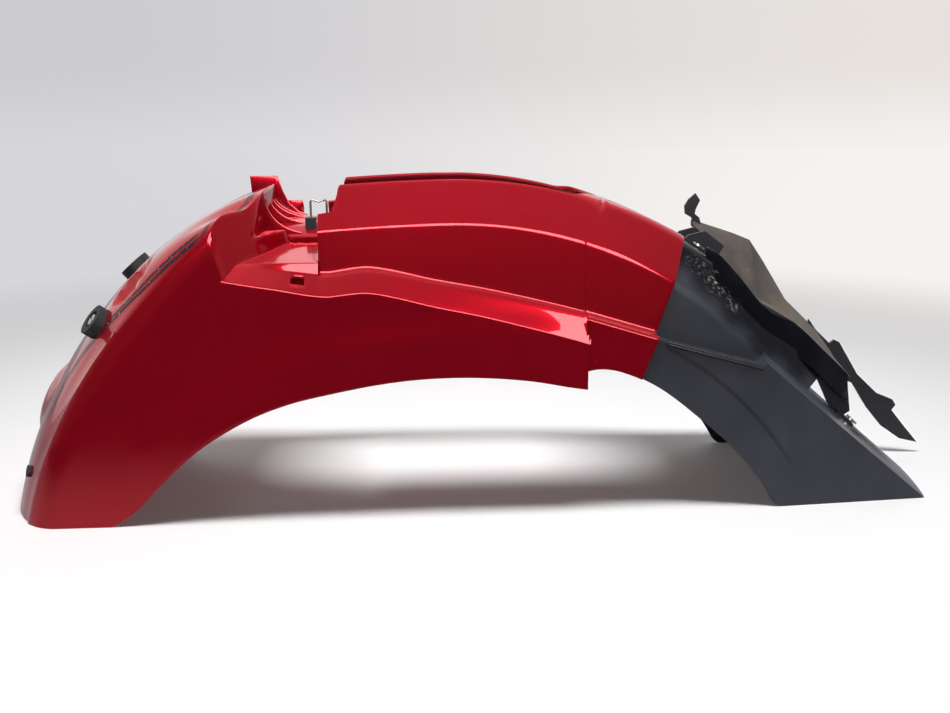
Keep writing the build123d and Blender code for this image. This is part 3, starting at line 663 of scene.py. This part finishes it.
# the twin line along the black ridge: offset in y and z from the ridge, and radius
beadPair = dict(upper=(3.4, -3.6, 1.7), lower=(0.6, -5.6, 1.5), y=-99.6, fromX=176, toX=268, points=24)
beads = []
for place in ("upper", "lower"):
    dy, dz, radius = beadPair[place]
    points = [(x, beadPair["y"] + dy, ridgeZ(x) + dz)
              for x in np.linspace(beadPair["fromX"], beadPair["toX"], beadPair["points"])]
    beads.append(beadAlong("ridge_bead_" + place, points, radius))
for bead in beads:
    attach(bead, "root")
print("guard side and ridge beads")


class Socket:
    # a shader value that adds, multiplies and compares like a number
    def __init__(self, tree, link):
        self.tree, self.link = tree, link

    def _math(self, kind, other, flip=False):
        a, b = (other, self) if flip else (self, other)
        return self.tree.node("ShaderNodeMath", dict(operation=kind), {0: a, 1: b})

    def __add__(self, o): return self._math("ADD", o)
    def __radd__(self, o): return self._math("ADD", o, True)
    def __sub__(self, o): return self._math("SUBTRACT", o)
    def __rsub__(self, o): return self._math("SUBTRACT", o, True)
    def __mul__(self, o): return self._math("MULTIPLY", o)
    def __rmul__(self, o): return self._math("MULTIPLY", o, True)
    def __truediv__(self, o): return self._math("DIVIDE", o)
    def __pow__(self, o): return self._math("POWER", o)
    def __abs__(self): return self.tree.node("ShaderNodeMath", dict(operation="ABSOLUTE"), {0: self})


class Finish:
    # one material and the nodes in it
    def __init__(self, name, **constants):
        self.material = bpy.data.materials.new(name)
        self.material.use_nodes = True
        self.nodes, self.links = self.material.node_tree.nodes, self.material.node_tree.links
        self.shader = next(n for n in self.nodes if n.type == "BSDF_PRINCIPLED")
        for key, value in constants.items():
            self.shader.inputs[key].default_value = value

    def node(self, kind, settings=None, sockets=None, out=0):
        n = self.nodes.new(kind)
        for key, value in (settings or {}).items():
            setattr(n, key, value)
        for key, value in (sockets or {}).items():
            if isinstance(value, Socket):
                self.links.new(value.link, n.inputs[key])
            else:
                n.inputs[key].default_value = value
        return Socket(self, n.outputs[out])

    def drive(self, key, value):
        self.links.new(value.link, self.shader.inputs[key])

    def place(self):
        return self.node("ShaderNodeTexCoord", out=3)

    def split(self, vector):
        parts = self.node("ShaderNodeSeparateXYZ", None, {0: vector})
        return [Socket(self, parts.link.node.outputs[k]) for k in range(3)]

    def noise(self, where, scale, detail=3.0, roughness=0.5):
        return self.node("ShaderNodeTexNoise", None,
                         {"Vector": where, "Scale": scale, "Detail": detail, "Roughness": roughness})

    def step(self, value, low, high):
        return self.node("ShaderNodeMapRange", dict(interpolation_type="SMOOTHSTEP"),
                         {"Value": value, "From Min": low, "From Max": high})

    def mixColour(self, share, a, b):
        return self.node("ShaderNodeMix", dict(data_type="RGBA"), {0: share, 6: a, 7: b}, out=2)

    def bump(self, height, strength, distance):
        self.drive("Normal", self.node("ShaderNodeBump", None,
                                       {"Strength": strength, "Distance": distance, "Height": height}))

    def attribute(self, name):
        return self.node("ShaderNodeAttribute", dict(attribute_name=name), out=2)

    def clipped(self, value):
        return self.node("ShaderNodeMath", dict(operation="MINIMUM", use_clamp=True), {0: value, 1: 1.0})

    def line(self, away, inner, outer):
        # 1 on a line, 0 beside it; away is the distance from its middle
        return 1 - self.step(abs(away), inner, outer)

    def spots(self, where, places):
        # 1 near each place, 0 away from it; a place is a point on the drawing and a radius
        near = []
        for x, y, z, radius in places:
            centre = tuple(toPart([(x, y, z)])[0])
            away = self.node("ShaderNodeVectorMath", dict(operation="DISTANCE"), {0: where, 1: centre}, out=1)
            near.append(1 - self.step(away, radius * 0.0005, radius * 0.0015))
        return sum(near[1:], near[0])


paintLook = dict(dark=(0.44, 0.0005, 0.008, 1), light=(0.54, 0.0010, 0.015, 1), flake=(0.70, 0.003, 0.03, 1),
                 rub=(0.030, 0.018, 0.030, 1), bare=(0.62, 0.52, 0.50, 1), metallic=0.55, roughness=0.20)
chips = [(-310, -98, 182, 1.0), (-319, -92, 187, 1.3), (-343, -84, 165.6, 0.8), (-231, -104, 225.8, 0.7),
         (74.8, -96, 193, 0.9), (-252, -97, 236, 1.1)]


def paintRed(look):
    f = Finish("candyRed", **{"Coat Roughness": 0.03, "Coat IOR": 1.5, "Specular IOR Level": 0.1})
    where = f.place()
    haze, flake = f.noise(where, 7.0, 4.0), f.noise(where, 2600.0, 1.0)
    speck, grit = f.noise(where, 420.0, 4.0, 0.65), f.noise(where, 90.0, 5.0, 0.6)
    base = f.mixColour(haze, look["dark"], look["light"])
    base = f.mixColour(f.step(flake, 0.55, 0.75) * 0.25, base, look["flake"])
    # the strap's rubbed double line along the shoulder and behind the rim
    angle, back, shoulder, outer = (f.attribute(n) for n in ("crownAngle", "rimBack", "strapLine", "outer"))
    wander = (grit - 0.5) * 1.2
    onShoulder = f.step(angle, 117.5, 119.5) * (1 - f.step(angle, 152, 156))
    besideRim = f.step(shoulder, -1.0, 1.5) * outer
    onRim = (1 - besideRim) * outer * (1 - f.step(angle, 119, 121))
    alongShoulder = f.line(shoulder + wander + 4.4, 0.8, 1.7) + f.line(shoulder + wander + 0.9, 0.7, 1.6)
    alongRim = f.line(back + wander - 8.0, 0.8, 1.7) + f.line(back + wander - 11.5, 0.7, 1.6)
    patchy = 0.9 + 0.4 * f.step(grit, 0.35, 0.6)
    rubbed = f.clipped((alongShoulder * onShoulder + alongRim * onRim) * patchy)
    base = f.mixColour(rubbed * 0.95, base, look["rub"])
    worn = rubbed * f.step(speck, 0.60, 0.70)
    scuffs = f.step(speck, 0.71, 0.76) * f.step(grit, 0.56, 0.66) * 0.7
    bare = f.clipped(worn + scuffs + f.spots(where, chips) * f.step(grit, 0.38, 0.48))
    f.drive("Base Color", f.mixColour(bare, base, look["bare"]))
    f.drive("Metallic", (1 - bare) * look["metallic"] * (1 - rubbed * 0.6))
    f.drive("Roughness", look["roughness"] + 0.06 * haze + 0.35 * bare)
    f.drive("Coat Weight", f.clipped(1 - bare - rubbed * 0.8))
    f.bump(f.noise(where, 60.0, 2.0) + rubbed * 0.6, 0.02, 0.0006)
    return f.material


# a shallow arc pressed into the black skirt with painted shade along it, painted shade in the well under the
# splash guard, the dirt caught in it and two scratches
skirtArc = dict(x=14.0, z=-141.1, radius=341.0)
wellShadePlaces = [(196, -44, 240, 22), (222, -52, 216, 22), (250, -56, 190, 22), (285, -60, 165, 26),
              (322, -66, 140, 22)]
dirtPlaces = [(206, -50, 226, 12), (226, -52, 208, 13), (244, -55, 190, 11)]
scratchPlaces = [(413, -80, 92, 6), (392, -86, 60, 5)]
satinLook = dict(deep=(0.034, 0.038, 0.052, 1), pale=(0.060, 0.066, 0.088, 1), roughness=0.36)
ridgeLook = dict(deep=(0.006, 0.006, 0.009, 1), pale=(0.012, 0.012, 0.017, 1), roughness=0.16)


def plasticBlack(name, look):
    f = Finish(name, **{"Specular IOR Level": 0.5, "Metallic": 0.0})
    where = f.place()
    dust, grain = f.noise(where, 26.0, 5.0), f.noise(where, 1500.0, 2.0)
    speck, grit = f.noise(where, 330.0, 4.0, 0.6), f.noise(where, 34.0, 5.0, 0.65)
    x, _, z = f.split(where)
    facing = f.split(f.node("ShaderNodeNewGeometry", out=1))[0]
    base = f.mixColour(dust, look["deep"], look["pale"])
    # painted shade: the black is darkened high up, leaving the lower part lighter as if lit from the floor
    base = f.mixColour(f.step(z, 0.07, 0.20) * 0.55, base, (0.008, 0.009, 0.014, 1))   # darker high up
    fromCentre = ((x - toPart([[skirtArc["x"], 0, 0]])[0][0]) ** 2 + (z - skirtArc["z"] / 1000) ** 2) ** 0.5
    groove = f.line(fromCentre - skirtArc["radius"] / 1000, 0.0008, 0.0030) * f.step(x, 0.110, 0.135)
    groove = groove * f.step(z, 0.03, 0.07)
    # painted shade: the groove is drawn darker along its line; the bump further down also sinks it
    base = f.mixColour(groove * 0.55, base, (0.008, 0.009, 0.012, 1))
    # painted shade: the well under the splash guard is darkened towards black, and made glossier there
    wellShade = f.clipped(f.spots(where, wellShadePlaces))
    base = f.mixColour(wellShade * 0.9, base, (0.004, 0.004, 0.006, 1))
    dirt = f.clipped(f.spots(where, dirtPlaces)) * f.step(speck, 0.50, 0.62) * f.step(grit, 0.42, 0.56)
    base = f.mixColour(dirt, base, (0.42, 0.39, 0.36, 1))
    scratch = f.clipped(f.spots(where, scratchPlaces)) * f.step(speck, 0.52, 0.6) * 0.6
    f.drive("Base Color", f.mixColour(scratch, base, (0.22, 0.22, 0.24, 1)))
    shield = f.step(facing, 0.45, 0.60) * f.step(x, 0.30, 0.33)          # the glossier sloping front
    rough = look["roughness"] + 0.16 * dust + 0.3 * dirt - 0.26 * shield - 0.32 * wellShade * (1 - dirt)
    f.drive("Roughness", f.clipped(rough))
    f.bump(grain * (1 - shield) + 0.5 * dust - groove * 4.0, 0.10, 0.0003)
    return f.material


guardLook = dict(deep=(0.020, 0.022, 0.028, 1), pale=(0.045, 0.047, 0.055, 1), dust=(0.135, 0.108, 0.088, 1),
                 grit=(0.35, 0.31, 0.27, 1), roughness=0.42)


def guardPlastic(look):
    f = Finish("dustyBlack", **{"Specular IOR Level": 0.4, "Metallic": 0.0})
    where = f.place()
    upward = f.split(f.node("ShaderNodeNewGeometry", out=1))[2]
    dust, fine = f.noise(where, 22.0, 6.0, 0.62), f.noise(where, 380.0, 4.0, 0.6)
    lying = f.step(upward, 0.25, 0.75)                      # dust lies where the face looks up
    amount = f.clipped(lying * (0.35 + 0.9 * f.step(dust, 0.34, 0.66)) * (0.6 + 0.6 * fine))
    base = f.mixColour(dust, look["deep"], look["pale"])
    base = f.mixColour(amount, base, look["dust"])
    grit = f.step(fine, 0.66, 0.72) * lying * 0.6
    f.drive("Base Color", f.mixColour(grit, base, look["grit"]))
    f.drive("Roughness", look["roughness"] + 0.45 * amount)
    f.bump(fine + dust, 0.18, 0.0005)
    return f.material


rubberLook = dict(deep=(0.012, 0.013, 0.015, 1), pale=(0.035, 0.035, 0.037, 1), dust=(0.30, 0.28, 0.27, 1),
                  roughness=0.55)


def padRubber(look):
    f = Finish("padRubber", **{"Specular IOR Level": 0.35, "Metallic": 0.0})
    where = f.place()
    dust, fine = f.noise(where, 60.0, 5.0), f.noise(where, 700.0, 3.0)
    base = f.mixColour(dust, look["deep"], look["pale"])
    f.drive("Base Color", f.mixColour(f.step(fine, 0.64, 0.72) * 0.6, base, look["dust"]))
    f.drive("Roughness", look["roughness"] + 0.25 * dust)
    f.bump(fine, 0.15, 0.0003)
    return f.material


zincLook = dict(dull=(0.50, 0.48, 0.45, 1), bright=(0.66, 0.65, 0.62, 1), rust=(0.16, 0.08, 0.045, 1),
                roughness=0.30)


def wornZinc(look):
    f = Finish("wornZinc", **{"Specular IOR Level": 0.5})
    where = f.place()
    age, fine = f.noise(where, 120.0, 5.0, 0.6), f.noise(where, 900.0, 3.0)
    rust = f.step(age, 0.52, 0.68)
    base = f.mixColour(fine, look["dull"], look["bright"])
    f.drive("Base Color", f.mixColour(rust * 0.75, base, look["rust"]))
    f.drive("Metallic", 1 - 0.7 * rust)
    f.drive("Roughness", look["roughness"] + 0.4 * rust)
    f.bump(age + 0.5 * fine, 0.15, 0.0002)
    return f.material


def dress(o, material):
    o.data.materials.clear()
    o.data.materials.append(material)


black, glossBlack = plasticBlack("satinBlack", satinLook), plasticBlack("ridgeBlack", ridgeLook)
paint, guard = paintRed(paintLook), guardPlastic(guardLook)
rubber, zinc = padRubber(rubberLook), wornZinc(zincLook)
dress(red, paint)
dress(fittings, paint)
for o in (guardFlank, *beads):
    dress(o, glossBlack)
for name, o in nodes.items():
    if name == "rear_mudguard":
        continue
    if name.startswith("lamp_pad") or name == "tail_button":
        dress(o, rubber)
    elif name in ("front_mudguard", "clip_holder"):
        dress(o, black)
    elif name == "splash_guard":
        dress(o, guard)
    else:
        dress(o, zinc)
print("materials on", len(nodes), "nodes")

# camera at the photograph's viewing angle; focal length and frame width are in the photograph's pixels
look = dict(stand=(-68, -1000, 373), yaw=4.13, pitch=13.6, focal=1019, frameWidth=950, sensor=36.0)
cam = bpy.data.cameras.new("camera")
camera = bpy.data.objects.new("camera", cam)
bpy.context.scene.collection.objects.link(camera)
cam.sensor_width, cam.lens = look["sensor"], look["sensor"] * look["focal"] / look["frameWidth"]
camera.location = toPart([look["stand"]])[0]
yaw, pitch = math.radians(look["yaw"]), math.radians(look["pitch"])
aim = Vector((math.sin(yaw) * math.cos(pitch), math.cos(yaw) * math.cos(pitch), -math.sin(pitch)))
camera.rotation_mode = "QUATERNION"
camera.rotation_quaternion = aim.to_track_quat("-Z", "Y")
bpy.context.scene.camera = camera
bpy.context.scene.view_settings.view_transform = "Standard"


class Shade(Finish):
    # a material or world whose nodes start from nothing
    def __init__(self, tree):
        self.nodes, self.links = tree.nodes, tree.links
        self.nodes.clear()

    def out(self, kind, shader):
        end = self.nodes.new(kind)
        self.links.new(shader.link, end.inputs["Surface"])

    def across(self, value, left, right):
        return self.mixColour(self.step(value, -0.35, 0.5), left, right)


# the room: dim in front and pale behind for the paint's gloss, and a pale backdrop for the camera
room = dict(front=0.10, back=1.20, plain=0.14, glossy=0.54, highLeft=(0.60, 0.595, 0.63, 1),
            highRight=(0.80, 0.76, 0.73, 1), lowLeft=(0.68, 0.67, 0.70, 1), lowRight=(0.92, 0.89, 0.87, 1))
world = bpy.data.worlds.new("studio")
bpy.context.scene.world = world
world.use_nodes = True
w = Shade(world.node_tree)
dirX, dirY, dirZ = w.split(w.node("ShaderNodeTexCoord", out=0))
depth = w.step(dirY + dirZ * 0.55, -0.35, 0.75)
grey = room["front"] + (room["back"] - room["front"]) * depth
tint = w.mixColour(depth, (0.95, 0.96, 1.0, 1), (1.0, 0.985, 0.97, 1))
strength = grey * (room["plain"] + room["glossy"] * w.node("ShaderNodeLightPath", out=3))
light = w.node("ShaderNodeBackground", None, {"Color": tint, "Strength": strength})
lowPale = w.across(dirX, room["lowLeft"], room["lowRight"])
highPale = w.across(dirX, room["highLeft"], room["highRight"])
pale = w.mixColour(w.step(dirZ, -0.05, 0.05), lowPale, highPale)
seen = w.node("ShaderNodeBackground", None, {"Color": pale, "Strength": 1.0})
cameraRay = w.node("ShaderNodeLightPath", out=0)
w.out("ShaderNodeOutputWorld", w.node("ShaderNodeMixShader", None, {0: cameraRay, 1: light, 2: seen}))


def softLamp(name, at, target, size, watts):
    data = bpy.data.lights.new(name, "AREA")
    data.shape, data.size, data.size_y, data.energy = "RECTANGLE", size[0], size[1], watts
    lamp = bpy.data.objects.new(name, data)
    bpy.context.scene.collection.objects.link(lamp)
    lamp.location = at
    lamp.rotation_mode = "QUATERNION"
    lamp.rotation_quaternion = (Vector(target) - Vector(at)).to_track_quat("-Z", "Y")
    return lamp


# the key lights from above, and the panel shows in the gloss alone
key = softLamp("key", (-0.05, -0.30, 1.60), (0, 0, 0.1), (0.7, 0.30), 29)
key.visible_glossy = False
panel = softLamp("panel", (0.0, -1.5, 1.18), (0, 0, 0.2), (2.4, 0.8), 40)
panel.visible_diffuse = panel.visible_camera = False
softLamp("behind", (0.1, 0.9, 1.2), (0, 0, 0.2), (1.6, 0.5), 2).visible_camera = False

sheet = dict(half=9, colour=(0.86, 0.855, 0.86, 1), roughness=0.6, glow=(1.0, 0.985, 0.98, 1), glowLevel=0.06,
             fadeFrom=0.75, fadeTo=1.7, dim=(0.045, 0.03, 0.06, 1), dimShare=0.42, dimFrom=-0.40, dimTo=-0.10)
corners = [(-1, -1, 0), (1, -1, 0), (1, 1, 0), (-1, 1, 0)]
floorMesh = bpy.data.meshes.new("floor")
floorMesh.from_pydata([tuple(sheet["half"] * v for v in corner) for corner in corners], [], [(0, 1, 2, 3)])
floor = newPiece("floor", floorMesh)
floorMaterial = bpy.data.materials.new("paleFloor")
floorMaterial.use_nodes = True
g = Shade(floorMaterial.node_tree)
ground = g.place()
floorX, floorY, _ = g.split(ground)
lit = g.node("ShaderNodeBsdfPrincipled", None,
             {"Base Color": sheet["colour"], "Roughness": sheet["roughness"], "Specular IOR Level": 0.12})
glowLevel = g.node("ShaderNodeLightPath", out=0) * sheet["glowLevel"]
glow = g.node("ShaderNodeEmission", None, {"Color": sheet["glow"], "Strength": glowLevel})
near = g.node("ShaderNodeAddShader", None, {0: lit, 1: glow})
distance = g.node("ShaderNodeVectorMath", dict(operation="LENGTH"), {0: ground}, out=1)
farColour = g.across(floorX / distance, room["lowLeft"], room["lowRight"])
far = g.node("ShaderNodeEmission", None, {"Color": farColour, "Strength": 1.0})
fading = g.step(distance, sheet["fadeFrom"], sheet["fadeTo"])
swept = g.node("ShaderNodeMixShader", None, {0: fading, 1: near, 2: far})
# in front of the sheet the room is dim, and the gloss of the paint shows it
dim = g.node("ShaderNodeEmission", None, {"Color": sheet["dim"], "Strength": 1.0})
lifted = 1 - sheet["dimShare"] * g.step(floorY, sheet["dimFrom"], sheet["dimTo"])
dimmed = g.node("ShaderNodeLightPath", out=3) * lifted
g.out("ShaderNodeOutputMaterial", g.node("ShaderNodeMixShader", None, {0: dimmed, 1: swept, 2: dim}))
floorMesh.materials.append(floorMaterial)
print("camera, lamps and floor")
